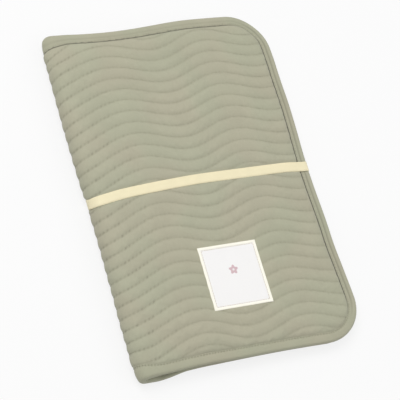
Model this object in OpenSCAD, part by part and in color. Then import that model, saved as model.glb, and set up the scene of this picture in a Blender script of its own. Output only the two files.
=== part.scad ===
// Folding quilted changing pad, held shut by an elastic band.
// Millimetres. The pad lies folded on its back panel: +Y runs along the fold, +X points from the fold
// to the free edge, +Z is up, and the origin is under the middle of the folded pad.
// Each panel is a stack of an outer cover, wadding and a lining, with a binding tape round its edge.

/* [Pad] */
// Length along the fold
pad_l = 350; // [300:5:450]
// Width of the folded pad
pad_w = 243; // [200:1:300]
// Radius of the rounded corners at the free edge
corner_r = 40; // [30:1:60]
// Thickness of one padded panel
panel_t = 9; // [9:0.5:11]
// Height of the folded pad over its fold
fold_h = 22.5; // [22.5:0.5:27]
// Gap between the two linings at the free edge
edge_gap = 0.5; // [0.4:0.1:2]
// Angle that each half of the fold opens through
fold_angle = 90; // [60:1:90]

/* [Layers] */
// Thickness of the quilted cover with its batting
cover_t = 4.4; // [4.2:0.1:5]
// Thickness of the lining
lining_t = 1.2; // [0.8:0.1:1.5]
// Width over which the padding thins towards the binding
bevel_w = 11.5; // [8:0.5:16]
// How far the padding stands above the binding where they meet
puff = 0.4; // [0.2:0.1:1]

/* [Binding] */
// Width of the binding tape on each face
binding_w = 10.5; // [9:0.5:13]
// Thickness of the binding tape
binding_t = 1; // [0.6:0.1:1.2]
// Thickness over the bound edge
bound_t = 6; // [5.5:0.1:6.5]
// Width of the row of topstitching
thread_w = 0.6; // [0.4:0.1:0.8]
// Height of the topstitching above the tape
thread_h = 0.3; // [0.2:0.1:0.4]
// Distance of the topstitching from the tape's inner edge
thread_inset = 1.5; // [1:0.1:2.5]

/* [Elastic] */
// Width of the elastic
band_w = 10; // [8:0.5:14]
// Thickness of the elastic
band_t = 1; // [0.8:0.1:1.2]
// Place of the elastic along the fold
band_y = 6; // [-20:1:60]
// Depth of the elastic's outer face below the padding round it
band_sink = 0.2; // [0.1:0.1:0.5]
// Clearance between the elastic and the pad
band_gap = 0.3; // [0.3:0.1:0.6]
// Length of the lap where the elastic's ends are sewn together
lap_l = 16; // [12:1:24]

/* [Label] */
// Width of the woven label across the pad
label_w = 64; // [50:1:70]
// Length of the woven label along the pad
label_l = 65; // [50:1:70]
// Place of the label across the pad
label_x = 4; // [-10:1:20]
// Place of the label along the pad
label_y = -93; // [-100:1:-80]
// Width of the label's turned border
label_border_w = 4; // [3:0.5:5]

/* [Hidden] */
$fn = 64;

// Colours
cover_colour = "#b1ad96";
binding_colour = "#aeaa92";
wadding_colour = "#f4f2ec";
lining_colour = "#e9e3d2";
thread_colour = "#a39e83";
elastic_colour = "#f2eac8";
label_colour = "#f6f5f2";
border_colour = "#f8f2dc";

// Folded outline
free_x = pad_w / 2;
fold_x = -pad_w / 2;
end_y = pad_l / 2;

// The fold: the layers turn about two lines, one at each panel's inner face. The hinge lines lie just
// under the outer cover, so that the cover keeps its length when the pad opens.
turn_x = fold_x + panel_t;
low_turn_z = panel_t;
high_turn_z = fold_h - panel_t;
hinge_inset = panel_t * (1 - 1 / sqrt(2));
hinge_x = fold_x + hinge_inset;
low_hinge_z = hinge_inset;
high_hinge_z = fold_h - hinge_inset;
spine_inner_x = turn_x - 0.3;
spine_reach = norm([spine_inner_x - hinge_x, low_hinge_z]);
panel_x = hinge_x + spine_reach + 0.35;

// The front panel slopes down to the free edge, where the two linings nearly meet
droop = asin((high_turn_z - low_turn_z - edge_gap) / (free_x - hinge_x));

// Heights of the layers above a panel's inner face, in the open panel and under the binding
cover_h = panel_t - cover_t;
bound_in_h = binding_t;
bound_lining_h = binding_t + 1;
bound_cover_h = bound_t - binding_t - 1.4;
bound_out_h = bound_t - binding_t;
shoulder_h = bound_t + puff;

// Distances in from the outline
nose = bound_t / 2;
full_d = binding_w + bevel_w;
lining_full_d = binding_w + 3.5;
thread_d = binding_w - thread_inset;

// The elastic's slot in the pad, a little wider than the elastic
slot_w = band_w + 2;
slot_depth = band_sink + band_t + band_gap;
lap_y_margin = 1;
lap_x_margin = 2;

// The label lies in a shallow recess
label_recess = 1;
label_face_t = 0.5;
label_border_t = 0.7;
label_corner_r = 1;

// ---------------------------------------------------------------- outlines and sweeps

// Plan of a panel, inset from its outline, square at the fold and rounded at the free edge
module plan(inset) {
    r = corner_r - inset;
    x = free_x - inset;
    y = end_y - inset;
    translate([panel_x, -y]) square([x - r - panel_x, 2 * y]);
    translate([panel_x, r - y]) square([x - panel_x, 2 * (y - r)]);
    for (side = [-1, 1])
        translate([x - r, side * (y - r)]) circle(r);
}

// Carries a profile (x = distance in from the outline, y = height) round a panel's three bound edges
module along_edge() {
    straight_y = end_y - corner_r;
    centre_x = free_x - corner_r;
    translate([free_x, straight_y, 0])
        rotate([90, 0, 0]) linear_extrude(2 * straight_y) mirror([1, 0]) children();
    for (side = [0, 1])
        mirror([0, side, 0]) {
            translate([centre_x, straight_y, 0])
                rotate_extrude(angle = 90) translate([corner_r, 0]) mirror([1, 0]) children();
            translate([centre_x, end_y, 0])
                rotate([90, 0, -90]) linear_extrude(centre_x - panel_x) children();
        }
}

// Carries a profile (x = height above the inner face, y = place along the fold) round the fold
module round_fold() {
    difference() {
        union() {
            translate([turn_x, 0, low_turn_z])
                mirror([1, 0, 0]) linear_extrude(high_turn_z - low_turn_z) children();
            translate([turn_x, 0, low_turn_z])
                mirror([1, 0, 0]) rotate([-90, 0, 0]) rotate_extrude(angle = 90) children();
            translate([turn_x, 0, high_turn_z])
                mirror([0, 0, 1]) mirror([1, 0, 0])
                    rotate([-90, 0, 0]) rotate_extrude(angle = 90) children();
        }
        translate([spine_inner_x, -pad_l, -fold_h]) cube([panel_t, 2 * pad_l, 3 * fold_h]);
    }
}

// Turns an edge profile so that it lies at both ends of the fold
module at_ends() {
    for (side = [0, 1])
        mirror([0, side]) translate([0, end_y]) rotate(-90) children();
}

// ---------------------------------------------------------------- edge profiles

module cover_edge() {
    polygon([
        [nose, bound_cover_h], [nose, bound_out_h], [binding_w, bound_out_h],
        [binding_w, shoulder_h], [full_d, panel_t], [full_d, cover_h], [binding_w, bound_cover_h]
    ]);
}

module wadding_edge() {
    polygon([
        [nose, bound_lining_h], [nose, bound_cover_h], [binding_w, bound_cover_h],
        [full_d, cover_h], [full_d, lining_t], [lining_full_d, lining_t],
        [binding_w, bound_lining_h]
    ]);
}

module lining_edge() {
    polygon([
        [nose, bound_in_h], [nose, bound_lining_h], [binding_w, bound_lining_h],
        [lining_full_d, lining_t], [full_d, lining_t], [full_d, 0], [binding_w, 0],
        [binding_w, bound_in_h]
    ]);
}

// Folded tape with a rounded nose and a pocket for the layers' edges
module binding_edge() {
    difference() {
        union() {
            translate([nose, nose]) circle(nose);
            translate([nose, 0]) square([binding_w - nose, bound_t]);
        }
        translate([nose, binding_t]) square([binding_w, bound_t - 2 * binding_t]);
    }
}

module thread_edge() {
    translate([thread_d - thread_w / 2, bound_t]) square([thread_w, thread_h]);
}

// ---------------------------------------------------------------- layers

// One layer of a panel, lying with its inner face down: an open slab and its edge profile
module panel_layer(low, high) {
    translate([0, 0, low]) linear_extrude(high - low) plan(full_d);
    along_edge() children();
}

// The same layer where it turns round the fold
module fold_layer(low, high) {
    round_fold() {
        union() {
            translate([low, full_d - end_y]) square([high - low, 2 * (end_y - full_d)]);
            at_ends() children();
        }
    }
}

// The back panel lies with its inner face up
module at_back() {
    translate([0, 0, panel_t]) mirror([0, 0, 1]) children();
}

// The front panel lies over it and slopes about the upper hinge line
module at_front() {
    translate([hinge_x, 0, high_hinge_z])
        rotate([0, droop, 0])
            translate([-hinge_x, 0, high_turn_z - high_hinge_z]) children();
}

// ---------------------------------------------------------------- the elastic's path

// A point of the front panel, given by its place across the pad and its height above the inner face
function on_front(x, h) =
    let (dx = x - hinge_x, dz = high_turn_z + h - high_hinge_z)
    [hinge_x + dx * cos(droop) + dz * sin(droop), high_hinge_z - dx * sin(droop) + dz * cos(droop)];

// Circles that a cord pulled round the folded pad would touch, anticlockwise: [centre, radius]
shoulder_x = free_x - full_d;
wrap = [
    [[turn_x, low_turn_z], panel_t],
    [[shoulder_x, nose], nose],
    [[free_x - nose, panel_t - nose], nose],
    [on_front(free_x - nose, nose), nose],
    [on_front(shoulder_x, panel_t - nose), nose],
    [[turn_x, high_turn_z], panel_t]
];

// Direction in which the tangent from one circle to the next faces outwards
function facing(i) =
    let (a = wrap[i], b = wrap[(i + 1) % len(wrap)], step = b[0] - a[0])
    atan2(step[1], step[0]) - 90 + asin((a[1] - b[1]) / norm(step));

// Outline round the pad, offset outwards by out
function wrap_points(out, steps = 8) = [
    for (i = [0 : len(wrap) - 1])
        let (
            from = facing((i + len(wrap) - 1) % len(wrap)),
            turn = (facing(i) - from + 720) % 360
        )
        for (k = [0 : steps])
            let (angle = from + turn * k / steps)
            wrap[i][0] + (wrap[i][1] + out) * [cos(angle), sin(angle)]
];

// A ring round the pad between two offsets, as wide as the elastic or its slot
module ring(inner, outer, width) {
    translate([0, band_y + width / 2, 0])
        rotate([90, 0, 0])
            linear_extrude(width)
                difference() {
                    polygon(wrap_points(outer));
                    polygon(wrap_points(inner));
                }
}

// What the elastic presses into the pad
module band_slot() {
    ring(-slot_depth, panel_t, slot_w);
}

// Room for the elastic's sewn lap under the pad
module lap_pocket() {
    translate([-lap_l / 2 - lap_x_margin, band_y - band_w / 2 - lap_y_margin, -1])
        cube([
            lap_l + 2 * lap_x_margin, band_w + 2 * lap_y_margin,
            1 + band_sink + 2 * band_t + band_gap
        ]);
}

// ---------------------------------------------------------------- back panel

module back_cover() {
    color(cover_colour)
        difference() {
            at_back() panel_layer(cover_h, panel_t) cover_edge();
            band_slot();
            lap_pocket();
        }
}

module back_wadding() {
    color(wadding_colour)
        at_back() panel_layer(lining_t, cover_h) wadding_edge();
}

module back_lining() {
    color(lining_colour)
        at_back() panel_layer(0, lining_t) lining_edge();
}

module back_binding() {
    color(binding_colour)
        difference() {
            at_back() along_edge() binding_edge();
            band_slot();
        }
}

module back_binding_thread() {
    color(thread_colour)
        difference() {
            at_back() along_edge() thread_edge();
            band_slot();
        }
}

// ---------------------------------------------------------------- spine

module spine_cover() {
    color(cover_colour)
        difference() {
            fold_layer(cover_h, panel_t) cover_edge();
            band_slot();
        }
}

module spine_wadding() {
    color(wadding_colour)
        fold_layer(lining_t, cover_h) wadding_edge();
}

module spine_lining() {
    color(lining_colour)
        fold_layer(0, lining_t) lining_edge();
}

module spine_binding() {
    color(binding_colour)
        round_fold() at_ends() binding_edge();
}

module spine_binding_thread() {
    color(thread_colour)
        round_fold() at_ends() thread_edge();
}

// ---------------------------------------------------------------- front panel

module label_plan(inset) {
    r = max(label_corner_r - inset, 0.2);
    w = label_w - 2 * inset;
    l = label_l - 2 * inset;
    translate([label_x, label_y]) {
        square([w - 2 * r, l], center = true);
        square([w, l - 2 * r], center = true);
        for (sx = [-1, 1], sy = [-1, 1])
            translate([sx * (w / 2 - r), sy * (l / 2 - r)]) circle(r);
    }
}

// A plate or frame of the label, between two heights over the bottom of its recess
module label_layer(low, high) {
    at_front()
        translate([0, 0, panel_t - label_recess + low]) linear_extrude(high - low) children();
}

module front_cover() {
    color(cover_colour)
        difference() {
            at_front() panel_layer(cover_h, panel_t) cover_edge();
            band_slot();
            label_layer(0, 2 * label_recess) label_plan(-0.1);
        }
}

module front_wadding() {
    color(wadding_colour)
        at_front() panel_layer(lining_t, cover_h) wadding_edge();
}

module front_lining() {
    color(lining_colour)
        at_front() panel_layer(0, lining_t) lining_edge();
}

module front_binding() {
    color(binding_colour)
        difference() {
            at_front() along_edge() binding_edge();
            band_slot();
        }
}

module front_binding_thread() {
    color(thread_colour)
        difference() {
            at_front() along_edge() thread_edge();
            band_slot();
        }
}

// ---------------------------------------------------------------- label

module label_face() {
    color(label_colour)
        label_layer(0, label_face_t) label_plan(label_border_w);
}

module label_border() {
    color(border_colour)
        label_layer(0, label_border_t)
            difference() {
                label_plan(0);
                label_plan(label_border_w);
            }
}

module label_thread() {
    color(thread_colour)
        label_layer(label_border_t, label_recess)
            difference() {
                label_plan(label_border_w / 2);
                label_plan(label_border_w / 2 + thread_w);
            }
}

// ---------------------------------------------------------------- elastic band

module elastic_band() {
    color(elastic_colour)
        ring(-band_sink - band_t, -band_sink, band_w);
}

module elastic_lap() {
    color(elastic_colour)
        translate([-lap_l / 2, band_y - band_w / 2, band_sink + band_t])
            cube([lap_l, band_w, band_t]);
}

// Two bars of zigzag stitching under the lap
module elastic_stitching() {
    bar = 1.5;
    color(thread_colour)
        for (side = [-1, 1])
            translate([side * (lap_l / 2 - 2) - bar / 2, band_y - band_w / 2 + 1, band_sink - 0.15])
                cube([bar, band_w - 2, 0.15]);
}

back_cover();
back_wadding();
back_lining();
back_binding();
back_binding_thread();
spine_cover();
spine_wadding();
spine_lining();
spine_binding();
spine_binding_thread();
front_cover();
front_wadding();
front_lining();
front_binding();
front_binding_thread();
label_face();
label_border();
label_thread();
elastic_band();
elastic_lap();
elastic_stitching();
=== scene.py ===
"""A quilted travel changing pad, folded like a book and held shut by an elastic band."""

import math

import bpy
import numpy as np
from bpy.props import FloatProperty, FloatVectorProperty, IntProperty, PointerProperty
from mathutils import Euler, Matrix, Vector
from mathutils.bvhtree import BVHTree
from mathutils.geometry import delaunay_2d_cdt


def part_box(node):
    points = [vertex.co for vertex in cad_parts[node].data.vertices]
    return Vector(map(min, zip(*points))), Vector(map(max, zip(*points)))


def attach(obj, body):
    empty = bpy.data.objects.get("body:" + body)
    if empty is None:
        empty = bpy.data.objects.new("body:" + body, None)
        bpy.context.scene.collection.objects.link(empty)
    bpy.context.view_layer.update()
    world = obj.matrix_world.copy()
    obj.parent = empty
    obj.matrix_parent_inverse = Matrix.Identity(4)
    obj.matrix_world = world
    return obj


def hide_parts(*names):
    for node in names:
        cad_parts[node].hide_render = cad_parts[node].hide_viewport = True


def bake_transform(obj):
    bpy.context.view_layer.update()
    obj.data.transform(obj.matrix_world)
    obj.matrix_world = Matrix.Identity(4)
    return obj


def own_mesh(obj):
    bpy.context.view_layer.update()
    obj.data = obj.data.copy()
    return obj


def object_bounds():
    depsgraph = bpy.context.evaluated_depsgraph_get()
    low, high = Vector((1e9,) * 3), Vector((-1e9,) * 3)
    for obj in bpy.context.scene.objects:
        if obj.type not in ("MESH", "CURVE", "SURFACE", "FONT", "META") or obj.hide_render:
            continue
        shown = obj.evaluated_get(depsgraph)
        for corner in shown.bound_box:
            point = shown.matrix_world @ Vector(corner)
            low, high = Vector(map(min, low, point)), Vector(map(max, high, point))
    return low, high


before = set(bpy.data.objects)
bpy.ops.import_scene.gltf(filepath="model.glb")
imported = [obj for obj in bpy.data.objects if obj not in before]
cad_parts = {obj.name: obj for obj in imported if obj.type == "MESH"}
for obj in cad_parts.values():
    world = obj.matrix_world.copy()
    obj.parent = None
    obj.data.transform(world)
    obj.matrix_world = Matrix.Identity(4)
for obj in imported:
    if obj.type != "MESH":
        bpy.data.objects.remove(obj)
cad_low, cad_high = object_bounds()

bl_info = {
    "name": "Quilted changing pad",
    "version": (1, 0, 0),
    "blender": (4, 5, 0),
    "location": "View3D > Sidebar > Changing pad",
    "description": "Makes a folded, quilted changing pad with binding, label and elastic",
    "category": "Add Mesh",
}

MM = 0.001
TURN = 2 * math.pi
FRONT = 1
BACK = -1
SIDES = ((FRONT, "front"), (BACK, "back"))
# The CAD panels that the visual pieces of each half stand for
PANELS = {FRONT: ("front", "spine"), BACK: ("back",)}
# The length of a quilting or label stitch, as a share of the distance to the next
STITCH_SHARE = 0.84


# ---------------------------------------------------------------- settings

def length(name, description, default):
    """A size in metres."""
    return FloatProperty(name=name, description=description, default=default, min=0, precision=5,
                         unit="LENGTH")


def colour(name, description, default):
    """A colour, as linear red, green and blue."""
    return FloatVectorProperty(name=name, description=description, default=default, size=3, min=0, max=1,
                               subtype="COLOR")


class PadSizes(bpy.types.PropertyGroup):
    """The folded pad and its layers"""

    panel_t: length("Panel thickness", "Thickness of one padded panel", 9 * MM)
    corner_r: length("Corner radius", "Radius of the rounded corners", 40 * MM)
    edge_gap: length("Edge gap", "Gap between the two linings at the free edge", 0.5 * MM)
    cover_t: length("Cover thickness", "Thickness of the quilted cover with its batting", 4.4 * MM)
    lining_t: length("Lining thickness", "Thickness of the coated lining", 1.2 * MM)
    bevel_w: length("Bevel width", "Width over which the padding thins towards the binding", 11.5 * MM)
    hollow: length("Fold hollow", "How far the lining stands back inside the fold", 2.7 * MM)
    crown: length("Crown", "How far the front panel bows up", 2.2 * MM)


class QuiltSizes(bpy.types.PropertyGroup):
    """The wavy rows of quilting"""

    spacing: length("Row spacing", "Distance from one row of quilting to the next", 12.13 * MM)
    wave_h: length("Wave height", "Half the height of a wave", 6 * MM)
    wave_l: length("Wave length", "Length of one wave", 110.5 * MM)
    pitch: length("Stitch pitch", "Distance from one stitch to the next", 4.4 * MM)
    depth: length("Quilting depth", "How far a row is drawn in below the crests", 1.0 * MM)
    slack: length("Slack", "How far the cover lies below its full height before it is filled", 0.35 * MM)
    thread_t: length("Thread thickness", "Thickness of the sewing thread", 0.36 * MM)
    frames: IntProperty(name="Simulation frames", description="Frames of cloth simulation", default=16,
                        min=2)


class TapeSizes(bpy.types.PropertyGroup):
    """The binding tape and its topstitching"""

    width: length("Tape width", "Width of the binding on each face", 10.3 * MM)
    thickness: length("Tape thickness", "Thickness of the turned tape", 1 * MM)
    bound_t: length("Bound thickness", "Thickness over the bound edge", 6 * MM)
    pitch: length("Stitch pitch", "Distance from one topstitch to the next", 3.1 * MM)
    stitch_d: length("Stitch distance", "Distance of the topstitching from the edge", 9 * MM)
    crease_d: length("Crease distance", "Distance of the crease in the tape from the edge", 5.9 * MM)
    crease_h: length("Crease depth", "Depth of the crease in the tape", 0.5 * MM)
    roll: length("Roll", "How far the bound edge is rolled up into the fold", 1.85 * MM)
    pucker: length("Pucker", "Height of the puckers along the topstitching", 0.16 * MM)
    dimple: length("Dimple", "Depth of the dimple at each topstitch", 0.3 * MM)


class BandSizes(bpy.types.PropertyGroup):
    """The elastic"""

    width: length("Elastic width", "Width of the elastic", 10 * MM)
    thickness: length("Elastic thickness", "Thickness of the elastic", 1 * MM)
    sink: length("Sink", "Depth to which the elastic presses the pad", 1.5 * MM)
    lap: length("Lap", "Length of the sewn lap under the pad", 16 * MM)


class LabelSizes(bpy.types.PropertyGroup):
    """The woven label"""

    border: length("Border width", "Width of the label's turned border", 2.6 * MM)
    face_t: length("Face thickness", "Thickness of the label", 0.5 * MM)
    pitch: length("Stitch pitch", "Distance from one of the label's stitches to the next", 2.6 * MM)
    thread_t: length("Thread thickness", "Thickness of the label's thread", 0.42 * MM)
    turn: FloatProperty(name="Turn", description="Turn of the label on the pad", default=math.radians(-0.3),
                        subtype="ANGLE")


class PadColours(bpy.types.PropertyGroup):
    """Colours of the cloths and threads"""

    cover: colour("Cover", "Sage beige jersey", (0.447, 0.438, 0.327))
    tape: colour("Binding", "Sage beige jersey tape", (0.436, 0.429, 0.318))
    thread: colour("Thread", "Sage sewing thread", (0.385, 0.373, 0.272))
    lining: colour("Lining", "Ecru coated cotton", (0.80, 0.75, 0.64))
    wadding: colour("Wadding", "White polyester wadding", (0.88, 0.86, 0.82))
    elastic: colour("Elastic", "Cream elastic", (0.86, 0.78, 0.53))
    label: colour("Label", "Off-white satin", (0.88, 0.87, 0.86))
    border: colour("Label border", "Cream border", (0.97, 0.945, 0.83))
    motif: colour("Motif", "Dusty pink flower on the label", (0.55, 0.32, 0.36))
    tan: colour("Label thread", "Tan sewing thread", (0.58, 0.48, 0.31))


# ---------------------------------------------------------------- the pad's shape

# How each edge of the soft pad wavers, as hills of (height, middle, reach) in mm
FREE_EDGE = ((-2.6, 8, 75), (3.5, -135, 65))
FOLD_EDGE = ((-1.6, 70, 85), (0.8, -30, 50), (-1.5, -125, 45))
TOP_EDGE = ((-3.0, -45, 80),)
LOW_EDGE_FRONT = ((-0.6, 20, 110),)
LOW_EDGE_BACK = ((0.8, 20, 110), (-2.5, -96, 30))


def ease(low, high, x):
    """0 before low, 1 after high, and smooth between them."""
    t = np.clip((x - low) / (high - low), 0, 1)
    return t * t * (3 - 2 * t)


def hill(x, middle, reach):
    """A smooth hill of height 1 that ends at reach on both sides of its middle."""
    t = np.clip(np.abs(x - middle) / reach, 0, 1)
    return (1 - t * t) ** 2


def hills(x, table):
    """A table of hills, added up."""
    return sum(height * MM * hill(x, middle * MM, reach * MM) for height, middle, reach in table)


def soft_min(a, b, softness):
    """The lower of two heights, rounded where they cross."""
    low = np.minimum(a, b)
    return low - softness * np.log(np.exp((low - a) / softness) + np.exp((low - b) / softness))


def ripple(x, wavelength, seed, waves=4):
    """An uneven ripple between about -1 and 1."""
    draw = np.random.default_rng(seed)
    total = np.zeros_like(x)
    for _ in range(waves):
        total += np.sin(TURN * x / (wavelength * draw.uniform(0.7, 1.6)) + draw.uniform(0, TURN))
    return total / waves ** 0.5 / 1.4


class Pad:
    """Where the pad's layers lie. A place on the opened pad is s across it, from the back's free edge
    (negative) through the middle of the fold (0) to the front's, y along the fold, and h above the inner
    face."""

    # The rows of quilting: how far they are shifted, how much they lean across the pad, where their waves
    # start at the middle row, and how far that drifts from row to row
    row_shift = -2.8 * MM
    row_lean = 0.0265
    wave_start = -57.5 * MM
    wave_drift = -0.0545
    # The wave over the fold, as a multiple of the others' height and length, and where the back's waves
    # start, in waves
    fold_wave_h = 1.58
    fold_wave_l = 1.3
    back_wave_start = -0.15
    # Share of the hollow in the fold that also thickens the bound edge
    thickened = 0.8
    # The label's middle, from its middle in the CAD
    label_off = (-2.3 * MM, -1.3 * MM)
    # How far the bound edge is drawn in on both sides of the fold, and its tips bent in
    drawn_in = 5.5 * MM
    bent_in = 3.0 * MM
    # How much flatter the fold is at its top end and its low end
    flat_top = 0.30
    flat_low = 0.08

    def __init__(self, scene):
        self.sizes = scene.pad_sizes
        self.quilt = scene.quilt_sizes
        self.tape = scene.tape_sizes
        self.band = scene.band_sizes
        self.label_turn = scene.label_sizes.turn
        self.thick = self.sizes.panel_t
        self.turn = cad_high.z / 2
        self.left = cad_low.x
        self.right = cad_high.x
        self.end = cad_high.y
        self.axis_x = self.left + self.turn
        run = self.right - self.axis_x
        drop = cad_high.z - 2 * self.thick - self.sizes.edge_gap
        self.slope = math.atan2(drop, run)
        self.reach = self.turn * math.pi / 2 + run
        self.across = self.reach - self.right
        low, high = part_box("label_border")
        middle = (low + high) / 2
        self.label_at = (middle.x + self.across + self.label_off[0], middle.y + self.label_off[1])
        self.label_size = (high.x - low.x, high.y - low.y)
        low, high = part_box("elastic_band")
        self.band_middle = (low.y + high.y) / 2

    # Outline, rows and label

    def inset(self, s, y):
        """Distance in from the bound edge of the opened pad."""
        r = self.sizes.corner_r
        qx = np.abs(s) - (self.reach - r)
        qy = np.abs(y) - (self.end - r)
        outside = np.hypot(np.maximum(qx, 0), np.maximum(qy, 0))
        return r - outside - np.minimum(np.maximum(qx, qy), 0)

    def row_y(self, row, s):
        """Place along the fold of a row of quilting, which sags at the low end."""
        base = row * self.quilt.spacing + self.row_shift
        x = s - self.across
        waves = (x - self.wave_start - self.wave_drift * base) / self.quilt.wave_l
        over_fold = 1 - self.fold_wave_h + self.fold_wave_h * np.cos(TURN * waves / self.fold_wave_l)
        back = 2 - 2 * self.fold_wave_h + np.cos(TURN * (waves - self.back_wave_start))
        wave = np.where(waves < 0, over_fold, np.cos(TURN * waves))
        wave = np.where(waves < -self.fold_wave_l / 2, back, wave)
        sag = 1.8 * MM * hill(x, -55 * MM, 60 * MM) * ease(-50 * MM, -140 * MM, base)
        sag = sag + 3.6 * MM * ease(-50 * MM, 5 * MM, x) * ease(-55 * MM, -115 * MM, base)
        return base + self.row_lean * x + self.quilt.wave_h * wave - sag

    def last_row(self):
        """Number of the outermost row that can reach the pad."""
        return int((self.end + 3 * self.quilt.wave_h) / self.quilt.spacing) + 1

    def label_share(self, s, y, grow=0.0):
        """1 under the label and 0 a little way off it."""
        c, n = math.cos(self.label_turn), math.sin(self.label_turn)
        ds, dy = s - self.label_at[0], y - self.label_at[1]
        off_side = np.abs(c * ds + n * dy) - self.label_size[0] / 2
        off_end = np.abs(c * dy - n * ds) - self.label_size[1] / 2
        return 1 - ease(-1.5 * MM, 1.5 * MM, np.maximum(off_side, off_end) - grow)

    def from_label(self, a, b):
        """Place on the opened pad of a place on the label, from its middle."""
        c, n = math.cos(self.label_turn), math.sin(self.label_turn)
        return self.label_at[0] + c * a - n * b, self.label_at[1] + c * b + n * a

    # Heights above the inner face

    def lift(self, s):
        """How far the lining stands back inside the fold."""
        return self.sizes.hollow * (1 - ease(18 * MM, 46 * MM, np.abs(s)))

    def bound(self, s):
        """Thickness over the bound edge."""
        return self.tape.bound_t + self.thickened * self.lift(s)

    def crest(self, s, y):
        """Height of the cover between the rows of quilting."""
        d = self.inset(s, y)
        bound = self.bound(s)
        start = bound + 0.5 * MM
        rise = np.clip((d - self.tape.width) / self.sizes.bevel_w, 0, 1)
        open_h = start + (self.thick - start) * np.sin(math.pi / 2 * rise) ** 0.8
        under = bound - self.tape.thickness - 0.1 * MM
        step = ease(self.tape.width - 1.0 * MM, self.tape.width + 0.3 * MM, d)
        return under + (open_h - under) * step - 0.8 * MM * self.label_share(s, y, -1.5 * MM)

    def cover_top(self, s, y):
        """Height of the cover where no row is near, once the elastic has pressed it."""
        return self.pressed(s, y, self.crest(s, y))

    def cover_under(self, s, y):
        """Height of the cover's plain inner face."""
        level = self.thick - self.sizes.cover_t + 0.5 * self.lift(s)
        return np.minimum(level, self.cover_top(s, y) - 1.4 * MM)

    def inner_face(self, s, y, start):
        """Height of the lining's inner face, which stands on the turned tape. start is how far outside the
        tape's inner edge it starts to come down."""
        step = ease(self.tape.width - start, self.tape.width + 4 * MM, self.inset(s, y))
        return self.lift(s) + self.tape.thickness * (1 - step)

    def row_depth(self, s, y):
        """How deep a row of quilting is."""
        edge = self.inset(s, y) - self.tape.width
        stretched = 1 - 0.35 * (1 - ease(12 * MM, 40 * MM, np.abs(s)))
        bevel = 0.45 * ease(0, 3 * MM, edge) + 0.55 * ease(2 * MM, self.sizes.bevel_w, edge)
        return self.quilt.depth * stretched * bevel * (1 - self.label_share(s, y))

    def band_y(self, s):
        """Middle line of the elastic, which bows a little across the front and drops at the fold."""
        x = s - self.across - 48 * MM
        bow = 1.9 * MM - np.where(x < 0, 0.2, 0.9) * x ** 2
        drop = 3.0 * MM * (1 - ease(0.0, 40 * MM, s))
        return self.band_middle + (bow - drop) * ease(-15 * MM, 10 * MM, s)

    def pressed(self, s, y, h):
        """A height once the elastic has pressed the pad, most at the free edge and at the lap."""
        level = self.thick - self.band.sink
        level = level - (level - 4.9 * MM) * (1 - ease(2 * MM, 24 * MM, self.inset(s, y)))
        level = level - 1.2 * MM * (s < 0) * hill(s + self.across, 0.0, 14 * MM)
        off = np.maximum(np.abs(y - self.band_y(s)) - self.band.width / 2 - 0.3 * MM, 0)
        wall = 0.9 * off + 120 * off ** 2
        return soft_min(h, level + wall, 0.25 * MM)

    def roll(self, s, d):
        """How much thicker the bound edge is on its inside where it is rolled up in the fold."""
        full = (self.tape.roll + self.thickened * self.lift(s)) * (1 - ease(22 * MM, 34 * MM, np.abs(s)))
        return full * (1 - ease(6 * MM, self.tape.width, d))

    # The fold and the way the pad has settled

    def place(self, s, y, h):
        """Points of the folded pad, for places on the opened one."""
        s, y, h = np.broadcast_arrays(s, y, h)
        u = np.abs(s)
        arc = np.where(s >= 0, math.pi / 2 + self.slope, math.pi / 2)
        angle = np.minimum(u / self.turn, arc)
        run = np.maximum(u - self.turn * arc, 0)
        radius = self.turn - self.thick + h
        up = np.where(s >= 0, 1, -1)
        tip = ease(self.end - 9 * MM, self.end + 3 * MM, np.abs(y))
        y = y - 1.0 * MM * hill(s, 0.0, 26 * MM) * ease(-self.end + 30 * MM, -self.end, y)
        inward = self.end - np.abs(y)
        beside = ease(0.0, 10 * MM, inward) * (1 - ease(10 * MM, 40 * MM, inward))
        y = y - np.sign(y) * self.drawn_in * beside * (1 - ease(0.0, 36 * MM, u))
        x = self.axis_x - radius * np.cos(angle) + run * np.sin(angle)
        x = x + self.bent_in * tip * np.maximum(np.cos(angle), 0) * ease(0.3, 0.9, radius / self.turn)
        z = self.turn + up * (radius * np.sin(angle) + run * np.cos(angle))
        return self.settle(x, y, z, ease(-15 * MM, 15 * MM, s))

    def settle(self, x, y, z, front):
        """Moves points as the soft pad has settled: it is flatter at the fold's ends, the front panel bows
        up and the edges waver. front is 1 on the front panel and 0 on the back, which moves less."""
        near_fold = 1 - ease(self.left, self.left + 75 * MM, x)
        near_free = ease(-10 * MM, self.right, x)
        upper = ease(60 * MM, self.end, y)
        lower = ease(-60 * MM, -self.end, y)
        top_end = ease(self.end - 45 * MM, self.end - 4 * MM, y)
        low_end = ease(-self.end + 40 * MM, -self.end + 4 * MM, y)
        top_corner = 3.0 * MM * ease(self.end - 60 * MM, self.end, y) * near_free ** 2
        low_corner = ease(-110 * MM, -self.end, y) * near_free ** 2
        most = 0.6 + 0.4 * front

        bow = self.sizes.crown * hill(x, -50 * MM, 140 * MM) * (1 - 0.5 * (y / self.end) ** 4)
        z = z * (1 - (self.flat_top * top_end + self.flat_low * low_end) * near_fold) + front * bow

        free_side = hills(y, FREE_EDGE) - 0.4 * MM - 2.5 * MM * ease(30 * MM, 110 * MM, y)
        fold_side = hills(y, FOLD_EDGE) - 2.2 * MM + 1.2 * MM * top_end - 1.8 * MM * low_end
        sideways = near_free * free_side + near_fold * fold_side + 2.3 * MM * low_corner - top_corner
        sideways = most * sideways + 1.1 * MM * (1 - front) * low_corner

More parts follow.
